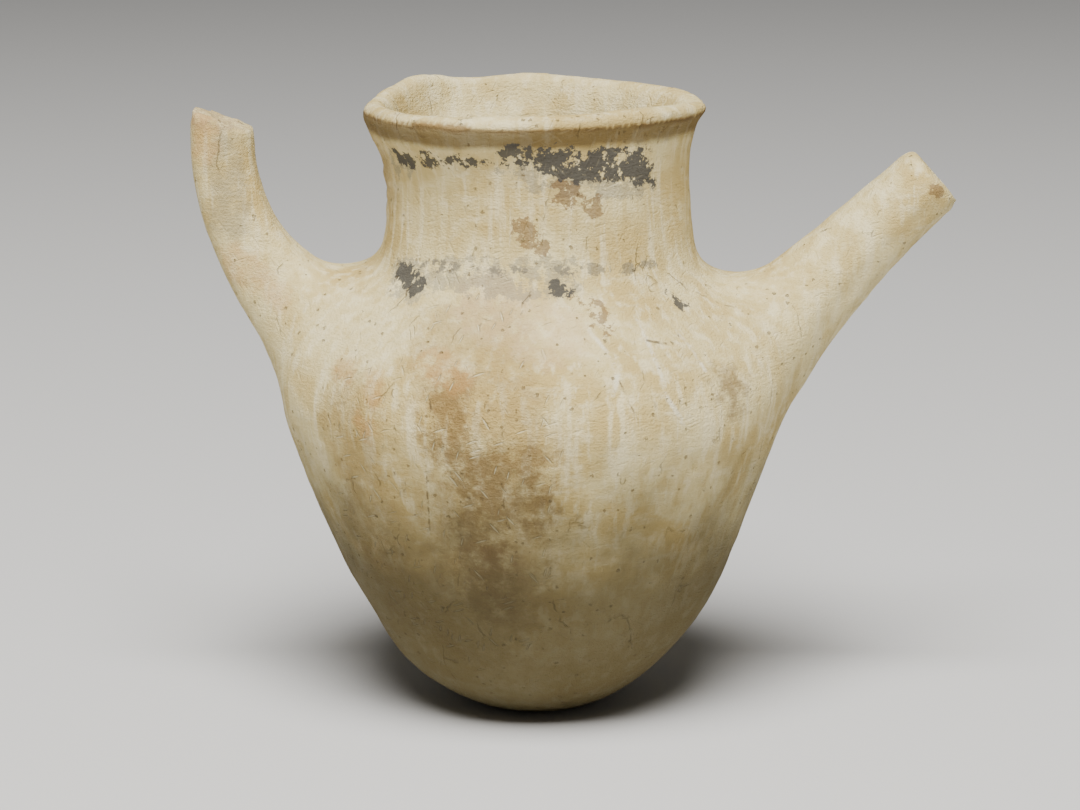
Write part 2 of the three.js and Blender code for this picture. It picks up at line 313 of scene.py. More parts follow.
@dataclass
class Wall:
    """The vessel's turned and hand-shaped wall. The sizes are the solid's own, in millimetres."""

    foot_radius: float = 12
    belly_radius: float = 61.6
    belly_height: float = 79
    waist_radius: float = 37.3
    waist_height: float = 130
    lip_radius: float = 42.3
    lip_height: float = 151.2
    rim_height: float = 154
    thickness: float = 5.6
    floor: float = 8
    lip_sag: float = 2.4
    sag_height: float = 145
    inner_lowest: float = 0.17
    inner_highest: float = 0.97
    floor_blend: float = 0.4
    lower: Rows = (
        (0.02, 0.275), (0.055, 0.363), (0.115, 0.47), (0.2, 0.576), (0.315, 0.674), (0.45, 0.766),
        (0.6, 0.847), (0.75, 0.916), (0.88, 0.969), (1, 1),
    )
    upper: Rows = (
        (0.13, 0.98), (0.25, 0.88), (0.36, 0.71), (0.46, 0.5), (0.54, 0.33), (0.62, 0.18),
        (0.71, 0.075), (0.84, 0.02), (1, 0),
    )
    flare: Rows = ((0.3, 0.04), (0.55, 0.18), (0.75, 0.47), (0.88, 0.8))
    lip: Rows = (
        (0.05, -0.35), (0, 0.05), (0.06, 0.5), (0.3, 0.87), (0.6, 1), (0.92, 0.82), (1.12, 0.3),
    )
    lean: Rows = (
        (0, -0.2), (10, -0.8), (28, 0.5), (42, 0), (62, -0.8), (105, 0), (126, 0.2), (140, -0.5), (150, -1.7),
    )
    crest: Rows = (
        (0, -1.2), (30, -0.3), (66, 0.4), (90, 1), (113, 0.2), (135, 1.9), (153, 0), (171, -1.2),
        (200, -1.1), (225, -0.8), (270, 0), (316, 0.3), (340, -0.3), (360, -1.2),
    )

    def outer(self, count: int) -> Array:
        """Draws the outer profile from the foot to the underside of the lip.

        Args:
            count: How many even steps to make.

        Returns:
            Radius and height, one point to a row.
        """
        taper = self.belly_radius - self.waist_radius
        low = [(out * self.belly_radius, up * self.belly_height) for up, out in self.lower]
        rise = self.waist_height - self.belly_height
        high = [(self.waist_radius + out * taper, self.belly_height + up * rise) for up, out in self.upper]
        spread, lift = self.lip_radius - self.waist_radius, self.lip_height - self.waist_height
        flare = [(self.waist_radius + out * spread, self.waist_height + up * lift) for up, out in self.flare]
        return spaced(through(np.array([(self.foot_radius, 0), *low, *high, *flare], float)), count)

    def inner(self, outer: Array) -> Array:
        """Draws the inner profile one wall's thickness inside the outer one, thicker towards the floor.

        Args:
            outer: The outer profile.

        Returns:
            Radius and height, from the top down.
        """
        along = np.linspace(0, 1, len(outer))
        extra = [(self.inner_lowest, self.floor - self.thickness), (self.floor_blend, 0)]
        deep = self.thickness + between(extra, along)
        kept = (along >= self.inner_lowest) & (along <= self.inner_highest)
        return (outer - outward_of(outer) * deep[:, None])[kept][::-1]

    def turned(self, profile: Array, count: int) -> tuple[Array, Array, Array]:
        """Turns a profile about the upright axis.

        Args:
            profile: Radius and height, one point to a row.
            count: How many points to make round the axis.

        Returns:
            The points' radii, heights and turns.
        """
        turn = np.linspace(0, 2 * np.pi, count, endpoint=False)
        radius, turn = np.meshgrid(profile[:, 0], turn, indexing="ij")
        return radius, np.broadcast_to(profile[:, 1:], radius.shape), turn

    def shaped(self, radius: Array, height: Array, turn: Array) -> Array:
        """Moves points of the true round vessel to their places on the hand-shaped one.

        Slow and quick waves run round the wall, the mouth is slightly three-sided, the crest is uneven,
        the lip sags towards the handle and the axis leans a little.

        Args:
            radius: The points' radii.
            height: The points' heights.
            turn: The points' turns about the upright axis.

        Returns:
            The places, with x, y and z in the last axis.
        """
        fade = between([(2, 0), (30, 1)], height)
        slow = 0.35 * np.sin(2 * turn + 0.7) + 0.25 * np.sin(3 * turn - height / 29)
        quick = 0.22 * np.sin(7 * turn + height / 9) + 0.16 * np.cos(11 * turn - height / 14)
        mouth = 1.2 * np.cos(3 * turn) * between([(138, 0), (150, 1)], height)
        away = between([(0, 0), (self.foot_radius, 1)], radius)
        swollen = radius + away * (fade * (slow + quick) + mouth)
        rim = between([(self.lip_height - 3, 0), (self.rim_height, 1)], height)
        crest = between(self.crest, np.degrees(turn) % 360) * rim
        start, middle = (self.waist_height + 3, 0), (self.sag_height, 1)
        sag = between([start, middle, (self.lip_height, 0.45), (self.rim_height, 0)], height)
        up = height + crest + self.lip_sag * np.cos(turn) * sag
        side = between(self.lean, height)
        return np.stack([swollen * np.cos(turn) + side, swollen * np.sin(turn), up], axis=-1)

    def gap(self, points: Array) -> tuple[Array, Array]:
        """Measures how far points lie outside the outer profile, negative inside it.

        Args:
            points: Places, one to a row.

        Returns:
            The gaps and the wall's outward ways.
        """
        profile = self.outer(90)
        start, edge = profile[:-1], np.diff(profile, axis=0)
        gaps, ways = [], []
        for part in np.array_split(points, max(1, len(points) // 20000)):
            x = part[:, 0] - between(self.lean, part[:, 2])
            spot = np.stack([np.hypot(x, part[:, 1]), part[:, 2]], axis=1)
            offset = spot[:, None] - start
            along = np.clip((offset * edge).sum(-1) / (edge * edge).sum(-1), 0, 1)
            rest = np.linalg.norm(offset - edge * along[..., None], axis=-1)
            nearest = rest.argmin(axis=1)
            row = np.arange(len(part))
            away, line = offset[row, nearest], edge[nearest]
            side = np.sign(away[:, 0] * line[:, 1] - away[:, 1] * line[:, 0])
            line = line / np.linalg.norm(line, axis=1, keepdims=True)
            turn = np.arctan2(part[:, 1], x)
            gaps.append(side * rest[row, nearest])
            ways.append(np.stack([line[:, 1] * np.cos(turn), line[:, 1] * np.sin(turn), -line[:, 0]], axis=1))
        return np.concatenate(gaps), np.concatenate(ways)


@dataclass
class Arm:
    """A form swept along a bent path out of the body's wall."""

    path: BentPath
    fillet: Fillet
    closing_rings: int = 10
    closing_shares: tuple[float, float] = (0.9, 0.08)

    def section(self, along: Array, angle: Array) -> tuple[Array, Array]:
        """Gives the half-widths across and deep at a place along the path and a turn about it."""
        raise NotImplementedError

    def finish(self, place: Array, along: Array, angle: Array, way: Array, out: Array) -> Array:
        """Shapes the free end; a plain arm keeps its places."""
        return place

    def gap(self, points: Array) -> tuple[Array, Array, Array]:
        """Measures how far points lie outside the swept form, negative inside it.

        Args:
            points: Places, one to a row.

        Returns:
            The gaps, the turns about the path and the form's outward ways.
        """
        along = np.linspace(0, 1, 41)
        places, _, uppers = self.path.at(along)
        nearest = np.concatenate([
            np.linalg.norm(part[:, None] - places, axis=-1).argmin(axis=1)
            for part in np.array_split(points, max(1, len(points) // 30000))
        ])
        offset = points - places[nearest]
        turn = np.arctan2(offset[:, 1], (offset * uppers[nearest]).sum(-1)) % (2 * np.pi)
        across, deep = self.section(along[nearest], turn)
        reach = np.linalg.norm(offset, axis=1)
        surface = np.hypot(across * np.cos(turn), deep * np.sin(turn))
        return reach - surface, turn, offset / np.maximum(reach, 1e-6)[:, None]

    def rings(self, wall: Wall, count: int, sides: int) -> Array:
        """Carries the section along the path, and lets it flare where it leaves the wall.

        Args:
            wall: The wall that the arm grows out of.
            count: How many rings lie along the path.
            sides: How many points lie on each ring.

        Returns:
            The rings' points, with smaller rings closing the free end.
        """
        along = np.linspace(0, 1, count)
        shrink = np.concatenate([np.ones(count), np.linspace(*self.closing_shares, self.closing_rings)])
        along = np.concatenate([along, np.ones(self.closing_rings)])[:, None]
        angle = np.linspace(0, 2 * np.pi, sides, endpoint=False)[None, :]
        along, angle = np.broadcast_arrays(along, angle)
        out = shrink[:, None] * np.ones_like(angle)
        place, way, upper = self.path.at(along)
        across, deep = self.section(along, angle)
        outward = aside(upper, angle, across * out, deep * out)
        point = place + outward
        outward = outward / np.linalg.norm(outward, axis=-1, keepdims=True)
        gap, facing = wall.gap(point.reshape(-1, 3))
        rise = self.fillet.rise(angle, gap.reshape(angle.shape), outward, facing.reshape(point.shape))
        return self.finish(point + outward * rise[..., None], along, angle, way, out)


@dataclass
class Spout(Arm):
    """The long tapered spout and its bore."""

    path: BentPath = field(init=False)
    fillet: Fillet = field(default_factory=lambda: Fillet(14, 30))
    reach: float = 98.5
    tip_height: float = 134.1
    tip_radius: float = 9.1
    root_radius: float = 18.5
    root: tuple[float, float] = (44, 79)
    bow: float = 3.5
    taper: float = 1.92
    wall: float = 4.9
    bore_flare: float = 1.8
    tip_rounding: float = 1.1
    rounding_start: float = 0.965
    facets: tuple[float, ...] = (2.05, 2.8, 3.5, 4.25)
    facet_half: float = 0.5
    facet_share: float = 0.955
    chips: tuple[tuple[float, float], ...] = ((-0.35, 1.5), (-1.5, 1.9))
    chip_overhang: float = 0.4

    def __post_init__(self) -> None:
        """Draws the path from inside the wall to the tip."""
        root = np.array([self.root[0], 0, self.root[1]], float)
        tip = np.array([self.reach, 0, self.tip_height], float)
        middle = (root + tip) / 2 + np.array([0, 0, self.bow])
        self.path = BentPath(bezier(np.stack([root, middle, tip])))

    def section(self, along: Array, angle: Array) -> tuple[Array, Array]:
        """Shrinks from root to tip by a power of the way left, with long facets trimmed below."""
        radius = self.tip_radius + (self.root_radius - self.tip_radius) * (1 - along) ** self.taper
        share = np.ones_like(angle)
        for facet in self.facets:
            offset = np.abs(angle - facet)
            trimmed = np.minimum(share, self.facet_share / np.cos(offset))
            share = np.where(offset < self.facet_half, trimmed, share)
        near = np.maximum(0, (along - self.rounding_start) / (1 - self.rounding_start))
        rounding = self.tip_rounding * near**2
        return radius * share - rounding, radius * share - rounding

    def bore(self) -> bpy.types.Object:
        """Makes the bore's plug, which runs past the tip and into the inside, and widens inwards."""
        along = np.linspace(-0.08, 1.08, 40)[:, None]
        angle = np.linspace(0, 2 * np.pi, 40, endpoint=False)[None, :]
        along, angle = np.broadcast_arrays(along, angle)
        place, _, upper = self.path.at(along)
        radius = self.tip_radius - self.wall + self.bore_flare * (1 - np.clip(along, 0, 1))
        return closed_mesh("spout bore", place + aside(upper, angle, radius, radius))

    def chipped(self, points: Array) -> Array:
        """Measures how deep points lie in the two chips on the spout's end.

        Args:
            points: Places, one to a row.

        Returns:
            A depth in millimetres, 0 away from the chips.
        """
        place, way, upper = self.path.at(np.array([1.0]))
        depth = np.zeros(len(points))
        for turn, radius in self.chips:
            out = aside(upper[0], np.array(turn), self.tip_radius, self.tip_radius)
            middle = place[0] + out + way[0] * self.chip_overhang
            depth += np.maximum(0, radius - np.linalg.norm(points - middle, axis=1))
        return depth


@dataclass
class HandleStub(Arm):
    """What is left of the high handle, up to its slanted break."""

    path: BentPath = field(init=False)
    fillet: Fillet = field(default_factory=lambda: Fillet(11, 27))
    reach: float = 77.4
    top: float = 148.7
    thickness: float = 15.5
    depth: float = 16.6
    root_growth: float = 25
    belly: tuple[float, float] = (61.6, 79)
    root_depth: float = 13.6
    break_slope: float = 2.4
    break_hollow: float = 0.9
    break_start: float = 0.8
    break_fade: tuple[float, float] = (-3.2, -1.6)
    groove: float = 0.05

    def __post_init__(self) -> None:
        """Draws the path up and out from the shoulder."""
        radius, height = self.belly
        controls = [
            (self.root_depth - radius, height * 1.1), (-self.reach * 0.795, height * 1.285),
            (-self.reach * 1.027, self.top * 0.795), (-self.reach, self.top),
        ]
        self.path = BentPath(bezier(np.array([(x, 0, z) for x, z in controls], float)))

    def section(self, along: Array, angle: Array) -> tuple[Array, Array]:
        """Gives a rounded rectangle that spreads towards the root, most on its under side."""
        growth = self.root_growth * (0.55 + 0.36 * (1 - np.cos(angle))) * (1 - along) ** 3
        corner = (np.abs(np.cos(angle)) ** 3 + np.abs(np.sin(angle)) ** 3) ** (-1 / 3)
        groove = 1 - self.groove * np.maximum(0, -np.cos(2 * angle))
        half = corner * groove / 2
        return (self.thickness + growth) * half, (self.depth + growth) * half

    def finish(self, place: Array, along: Array, angle: Array, way: Array, out: Array) -> Array:
        """Slants and hollows the break: the end moves along the path by slope and by hollow."""
        near = np.maximum(0, (along - self.break_start) / (1 - self.break_start))
        slide = near * (self.break_slope * np.cos(angle) * out - self.break_hollow * (1 - out))
        return place + way * slide[..., None]

    def broken(self, points: Array) -> Array:
        """Tells how much of the break's rough face each point belongs to.

        Args:
            points: Places, one to a row.

        Returns:
            A share from 0 to 1.
        """
        place, way, _ = self.path.at(np.array([1.0]))
        past = (points - place[0]) @ way[0]
        near = np.linalg.norm(points - place[0], axis=1) < self.depth
        return np.where(near, np.interp(past, self.break_fade, (0, 1)), 0)


@dataclass(frozen=True)
class Viewpoint:
    """The pinhole camera that took the photograph, in millimetres and picture pixels."""

    distance: float = 900
    height: float = 265
    pitch: float = 11.85
    focal: float = 3675
    centre: Pixel = (537, 405)
    frame: Pixel = (1080, 810)
    sensor: float = 36
    search: tuple[float, float, int] = (810, 920, 900)

    def ray(self, pixel: Pixel) -> tuple[Array, Array]:
        """Finds the line of sight of a picture point.

        Args:
            pixel: The point's column and row.

        Returns:
            The camera's place and the way of the line.
        """
        pitch = np.radians(self.pitch)
        ahead = np.array([0, np.cos(pitch), -np.sin(pitch)])
        above = np.array([0, np.sin(pitch), np.cos(pitch)])
        across = np.array([1.0, 0, 0])
        way = ahead + across * (pixel[0] - self.centre[0]) / self.focal
        way = way - above * (pixel[1] - self.centre[1]) / self.focal
        return np.array([0, -self.distance, self.height]), way

    def camera(self) -> bpy.types.Object:
        """Sets up the camera that sees the cup as the photograph does."""
        data = bpy.data.cameras.new("camera")
        data.sensor_width = self.sensor
        data.lens = self.focal / self.frame[0] * data.sensor_width
        data.shift_x = (self.frame[0] / 2 - self.centre[0]) / self.frame[0]
        camera = bpy.data.objects.new("camera", data)
        camera.location = (0, -self.distance * MM, self.height * MM)
        camera.rotation_euler = (np.radians(90 - self.pitch), 0, 0)
        bpy.context.scene.collection.objects.link(camera)
        bpy.context.scene.camera = camera
        return camera


@dataclass(frozen=True)
class Ragged:
    """How noise breaks up a mark: the noise's share, and the sums at which the mark starts and is full."""

    share: float
    start: float
    full: float


CLOUDY = Ragged(3.2, 1.75, 2.9)
FLAKED = Ragged(5.2, 3.3, 3.5)


@dataclass(frozen=True)
class Pigment:
    """What one kind of mark is like: colour in screen values, strength, and softness in millimetres."""

    shade: Shade
    strength: float
    softness: float
    ragged: Ragged = CLOUDY
    thin: bool = False


class Trace(Enum):
    """The kinds of marks on the cup."""

    WORN = Pigment((166, 138, 82), 0.62, 15.0)
    PINK = Pigment((216, 184, 140), 0.36, 9.0)
    SOFT_BROWN = Pigment((116, 88, 48), 0.66, 9.0)
    RED_BROWN = Pigment((124, 86, 52), 0.4, 7.0)
    GREY = Pigment((150, 138, 106), 0.6, 6.0)
    ORANGE = Pigment((188, 142, 80), 0.5, 4.5)
    WASH = Pigment((136, 130, 112), 0.5, 4.0, FLAKED)
    BROWN = Pigment((122, 92, 56), 0.7, 2.6, FLAKED)
    PAINT = Pigment((72, 70, 66), 0.92, 2.6, FLAKED)
    FAINT = Pigment((100, 96, 86), 0.6, 1.9, FLAKED)
    WHITE = Pigment((240, 233, 206), 0.6, 0.8, thin=True)
    CRACK = Pigment((84, 68, 46), 0.8, 0.35, thin=True)


@dataclass(frozen=True)
class Mark:
    """One mark, as a line of picture points with a half-width in millimetres."""

    trace: Trace
    radius: float
    pixels: tuple[Pixel, ...]


MARKS: tuple[Mark, ...] = (
    Mark(Trace.PAINT, 1.5, ((402, 154), (430, 157), (456, 156))),
    Mark(Trace.PAINT, 0.9, ((462, 157), (490, 158))),
    Mark(Trace.PAINT, 1.9, ((510, 156), (545, 158))),
    Mark(Trace.PAINT, 3.2, ((552, 161), (600, 166), (646, 163))),
    Mark(Trace.PAINT, 0.6, ((633, 178), (652, 180))),
    Mark(Trace.WASH, 4.5, ((552, 172), (640, 174))),
    Mark(Trace.WASH, 2.0, ((400, 160), (540, 165))),
    Mark(Trace.BROWN, 2.0, ((562, 190), (592, 208))),
    Mark(Trace.BROWN, 1.4, ((520, 228), (538, 246))),
    Mark(Trace.FAINT, 0.5, ((402, 264), (450, 268), (520, 271))),
    Mark(Trace.FAINT, 0.4, ((560, 271), (610, 270), (654, 264))),
    Mark(Trace.PAINT, 1.8, ((405, 272), (419, 286))),
    Mark(Trace.WASH, 4.0, ((404, 278), (424, 286))),
    Mark(Trace.WASH, 3.6, ((458, 276), (510, 280), (566, 280))),
    Mark(Trace.PAINT, 1.0, ((556, 287), (566, 292))),
    Mark(Trace.BROWN, 0.7, ((570, 298), (596, 304), (602, 310), (598, 324), (606, 330))),
    Mark(Trace.PAINT, 1.0, ((671, 295), (680, 303))),
    Mark(Trace.WHITE, 0.2, ((638, 320), (652, 350), (660, 370), (668, 398), (684, 424))),
    Mark(Trace.WHITE, 0.15, ((590, 330), (606, 350), (618, 374), (614, 394))),
    Mark(Trace.WHITE, 0.15, ((678, 330), (694, 350), (706, 370))),
    Mark(Trace.WHITE, 0.9, ((766, 415), (769, 417))),
    Mark(Trace.CRACK, 0.05, ((620, 382), (630, 404), (642, 430))),
    Mark(Trace.CRACK, 0.3, ((648, 340), (667, 343))),
    Mark(Trace.CRACK, 0.35, ((775, 391), (787, 403))),
    Mark(Trace.CRACK, 0.08, ((428, 360), (431, 410), (426, 470), (430, 535))),
    Mark(Trace.ORANGE, 1.6, ((233, 256), (243, 274))),
    Mark(Trace.ORANGE, 1.5, ((247, 265), (290, 305), (305, 330))),
    Mark(Trace.ORANGE, 1.2, ((344, 368), (348, 373))),
    Mark(Trace.ORANGE, 1.0, ((375, 380), (377, 400))),
    Mark(Trace.ORANGE, 1.0, ((364, 426), (367, 429))),
    Mark(Trace.ORANGE, 2.2, ((434, 363), (456, 377))),
    Mark(Trace.ORANGE, 1.8, ((200, 116), (201, 150))),
    Mark(Trace.PINK, 5.0, ((488, 300), (552, 338))),
    Mark(Trace.WORN, 9.0, ((470, 345), (490, 450), (490, 560), (470, 620))),
    Mark(Trace.WORN, 3.0, ((350, 410), (360, 470), (400, 600))),
    Mark(Trace.SOFT_BROWN, 1.5, ((452, 395), (446, 440), (470, 480))),
    Mark(Trace.SOFT_BROWN, 2.0, ((490, 470), (480, 540), (486, 600))),
    Mark(Trace.SOFT_BROWN, 0.8, ((530, 470), (532, 520))),
    Mark(Trace.SOFT_BROWN, 1.5, ((729, 389), (732, 392))),
    Mark(Trace.RED_BROWN, 2.5, ((495, 565), (515, 615))),
    Mark(Trace.GREY, 2.5, ((226, 152), (230, 222))),
    Mark(Trace.BROWN, 0.8, ((937, 188), (940, 192))),
)


@dataclass
class CupSkin:
    """The whole cup: the wall, the spout and the handle's stub as one closed skin."""

    wall: Wall = field(default_factory=Wall)
    spout: Spout = field(default_factory=Spout)
    handle: HandleStub = field(default_factory=HandleStub)
    view: Viewpoint = field(default_factory=Viewpoint)
    turns: int = 240
    rows: int = 210
    cell: float = 1.28
    even_share: float = 0.6
    even_passes: int = 3
    neck_reach: float = 52
    rub_depth: float = 1.5
    rub_reach: float = 13
    rub_strength: float = 0.6
    rub_passes: int = 70
    skin_depth: float = 2
    inside_depth: float = 2.5
    pit_size: float = 3.1
    pit_depth: float = 0.35
    pit_range: tuple[float, float] = (0.62, 0.92)
    crest_rise: float = 0.18
    crest_range: tuple[float, float] = (148, 153)
    chip_depth: float = 0.6
    lumps: Ripples = ((0.16, 17, 1), (0.07, 4.5, 3), (0.045, 2.2, 4))
    drags: Ripples = ((0.1, 9, 2),)
    tears: Ripples = ((0.5, 3.4, 6), (0.3, 1.9, 7))
    scar_lumps: Ripples = ((0.55, 4.2, 8), (0.3, 2, 9))
    scar_middle: tuple[float, float, float] = (-37, -6, 136)
    scar_reach: tuple[float, float, float] = (9, 17, 15)
    scar_edge: float = 1.6

    def vessel(self) -> bpy.types.Object:
        """Turns the profile about the upright axis and draws its clay up to the spout and the handle."""
        wall = self.wall
        outer = wall.outer(self.rows)
        unit = np.array([-wall.thickness, wall.rim_height - wall.lip_height])
        lip = np.array([wall.lip_radius, wall.lip_height]) + unit * np.array(wall.lip)
        inner = wall.inner(outer)
        top = spaced(through(np.concatenate([outer[-2:-1], lip, inner[:1]])), 26)[1:-1]
        foot = np.stack([np.linspace(2, wall.foot_radius, 6)[:-1], np.zeros(5)], axis=1)
        floor = np.stack([np.linspace(inner[-1, 0], 2, 8)[1:], np.full(7, wall.floor)], axis=1)
        profile = np.concatenate([foot, outer[:-1], top, inner, floor])
        radius, height, turn = wall.turned(profile, self.turns)
        points = wall.shaped(radius, height, turn)
        skin = slice(len(foot), len(foot) + len(outer) - 1)
        cos, sin = np.cos(turn[skin]), np.sin(turn[skin])
        ways = outward_of(outer)[:-1]
        up = np.broadcast_to(ways[:, 1:], cos.shape)
        outward = np.stack([ways[:, :1] * cos, ways[:, :1] * sin, up], axis=-1)
        true_round = np.stack([radius[skin] * cos, radius[skin] * sin, height[skin]], axis=-1)
        rises = []
        for arm in (self.spout, self.handle):
            gap, angle, facing = arm.gap(true_round.reshape(-1, 3))
            rises.append(arm.fillet.rise(angle, gap, outward.reshape(-1, 3), facing))
        points[skin] += outward * np.max(rises, axis=0).reshape(cos.shape)[..., None]
        return closed_mesh("vessel", points)

    def core(self) -> bpy.types.Object:
        """Makes a form whose skin runs in the middle of the wall, to keep the arms out of the inside."""
        outer = self.wall.outer(60)
        profile = (outer - outward_of(outer) * self.wall.thickness / 2)[6:]
        return closed_mesh("core", self.wall.shaped(*self.wall.turned(profile, 120)))

    def joint_share(self, points: Array) -> Array:
        """Tells how near points of the outer skin lie to a joint, from 0 away from it to 1 on it."""
        body = self.wall.gap(points)[0]
        form = np.minimum(self.spout.gap(points)[0], self.handle.gap(points)[0])
        share = np.clip(1 - np.maximum(body, form) / self.rub_reach, 0, 1)
        return np.where((body < -self.rub_depth) | (form < -self.rub_depth), 0, share)

    def rubbed(self, points: Array, edges: Array, share: Array, passes: int) -> Array:
        """Rubs the clay smooth: each point moves towards the mean of its neighbours, again and again.

        Args:
            points: Places, one to a row.
            edges: Pairs of neighbours.
            share: How strongly each point moves, from 0 to 1.
            passes: How many times they move.

        Returns:
            The smoothed places.
        """
        both = np.concatenate([edges, edges[:, ::-1]])
        order = np.argsort(both[:, 0], kind="stable")
        owner, neighbour = both[order, 0], both[order, 1]
        count = np.bincount(owner, minlength=len(points))[:, None]
        starts = np.concatenate([[0], np.cumsum(count[:, 0])[:-1]])
        for _ in range(passes):
            mean = np.add.reduceat(points[neighbour], starts, axis=0) / count
            points = points + (mean - points) * share[:, None] * self.rub_strength
        return points

    def relief(self, points: Array, body: Array) -> Array:
        """Works out the clay's own unevenness as a rise along the skin's outward way.

        It adds slow dents from fingers, level drag marks, small lumps, knocked pits, the rough break of
        the handle and the scar on the neck where the handle's upper end was torn off.

        Args:
            points: Places, one to a row.
            body: Their gaps to the body's outer profile.

        Returns:
            The rise in millimetres.
        """
        rise = ripples(points, self.lumps) + ripples(points * (1, 1, 2.6), self.drags)
        pits = lattice_noise(points, self.pit_size, 5)
        rise -= self.pit_depth * np.interp(pits, self.pit_range, (0, 1))
        rise += self.handle.broken(points) * ripples(points, self.tears)
        rise += self.scar(points) * (body > -self.skin_depth) * ripples(points, self.scar_lumps)
        crest = np.interp(points[:, 2], self.crest_range, (0, 1))
        rise += crest * self.crest_rise * lattice_noise(points, 5, 10)
        return rise - self.chip_depth * self.spout.chipped(points)

    def scar(self, points: Array) -> Array:
        """Tells how much each point belongs to the torn place on the neck above the handle."""
        away = np.linalg.norm((points - self.scar_middle) / self.scar_reach, axis=1)
        return np.clip(self.scar_edge * (1 - away), 0, 1)

    def build(self) -> bpy.types.Object:
        """Joins the forms, gives them an even skin and adds the relief.

        Returns:
            The finished piece, with its masks as point attributes.
        """
        cup = self.vessel()
        core, bore = self.core(), self.spout.bore()
        take_away(cup, bore)
        parts = [cup]
        for name, arm, count, sides in (("spout", self.spout, 90, 88), ("handle", self.handle, 70, 72)):
            form = closed_mesh(name, arm.rings(self.wall, count, sides))
            take_away(form, core)
            take_away(form, bore)
            parts.append(form)
        with bpy.context.temp_override(active_object=cup, object=cup, selected_editable_objects=parts):
            bpy.ops.object.join()
        remesh = cup.modifiers.new("even skin", "REMESH")
        remesh.mode = "VOXEL"
        remesh.voxel_size = self.cell * MM
        settle(cup)
        for scrap in (core, bore):
            bpy.data.objects.remove(scrap)
        cup.name = cup.data.name = "cup"
        self.shape_skin(cup.data)
        return cup

    def shape_skin(self, mesh: bpy.types.Mesh) -> None:
        """Smooths the even skin, raises its relief and stores its masks.

        Args:
            mesh: The joined mesh, which is changed in place.
        """
        points = np.empty(len(mesh.vertices) * 3)
        mesh.vertices.foreach_get("co", points)
        points = points.reshape(-1, 3) / MM
        edges = np.empty(len(mesh.edges) * 2, np.int32)
        mesh.edges.foreach_get("vertices", edges)
        edges = edges.reshape(-1, 2)
        points = self.rubbed(points, edges, np.full(len(points), self.even_share), self.even_passes)
        points = self.rubbed(points, edges, self.joint_share(points), self.rub_passes)
        mesh.vertices.foreach_set("co", (points * MM).ravel())
        mesh.update()
        normals = np.empty(len(points) * 3)
        mesh.vertices.foreach_get("normal", normals)
        body = self.wall.gap(points)[0]
        foot = np.clip(points[:, 2] / 3, 0, 1)
        points = points + normals.reshape(-1, 3) * (self.relief(points, body) * foot)[:, None]
        points[:, 2] = np.maximum(points[:, 2], 0)
        mesh.vertices.foreach_set("co", (points * MM).ravel())
        mesh.polygons.foreach_set("use_smooth", np.ones(len(mesh.polygons), bool))
        inside = body < -self.inside_depth
        for arm in (self.spout, self.handle):
            inside &= arm.gap(points)[0] > -self.skin_depth
        neck = ~inside & (np.hypot(points[:, 0], points[:, 1]) < self.neck_reach)
        scar = self.scar(points) * (body > -self.skin_depth)
        masks = {"neck": neck, "break": self.handle.broken(points), "scar": scar}
        masks |= {trace.name: self.spread(trace, points) for trace in Trace if not trace.value.thin}
        for name, values in masks.items():
            layer = mesh.attributes.new(name, "FLOAT", "POINT")
            layer.data.foreach_set("value", np.asarray(values, np.float32))
        mesh.update()

    def spread(self, trace: Trace, points: Array) -> Array:
        """Spreads the marks of one kind over the skin, full on their lines and fading beyond them.

        Args:
            trace: The kind of marks.
            points: Places, one to a row.

        Returns:
            A strength from 0 to 1 for each place.
        """
        strength = np.zeros(len(points))
        for start, end, radius in self.strokes(trace):
            line = end - start
            along = np.clip((points - start) @ line / max(line @ line, 1e-6), 0, 1)
            rest = np.linalg.norm(points - start - along[:, None] * line, axis=1)
            fade = np.clip(1 - (rest - radius) / trace.value.softness, 0, 1)
            strength = np.maximum(strength, fade * fade * (3 - 2 * fade))
        return strength

    def strokes(self, trace: Trace) -> list[tuple[Array, Array, float]]:
        """Finds the straight strokes of one kind of marks on the skin.

        Args:
            trace: The kind of marks.

        Returns:
            Each stroke's start, end and half-width in millimetres.
        """
        found = []
        for mark in (mark for mark in MARKS if mark.trace is trace):
            places = [self.sighted(pixel) for pixel in mark.pixels]
            found += [(start, end, mark.radius) for start, end in zip(places, places[1:])]
        return found

    def sighted(self, pixel: Pixel) -> Array:
        """Finds where a line of sight first meets the cup.

        Args:
            pixel: The picture point.

        Returns:
            The place in millimetres.
        """
        eye, way = self.view.ray(pixel)
        points = eye + way * np.linspace(*self.view.search)[:, None]
        form = np.minimum(self.wall.gap(points)[0], self.spout.gap(points)[0])
        form = np.minimum(form, self.handle.gap(points)[0])
        meets = np.flatnonzero(form < 0)
        return points[meets[0]] if len(meets) else points[np.argmin(form)]


def colour(red: int, green: int, blue: int) -> tuple[float, float, float, float]:
    """Turns a colour in screen values into the linear values that shaders use."""
    part = np.array([red, green, blue]) / 255
    linear = np.where(part <= 0.04045, part / 12.92, ((part + 0.055) / 1.055) ** 2.4)
    return (*linear.tolist(), 1.0)


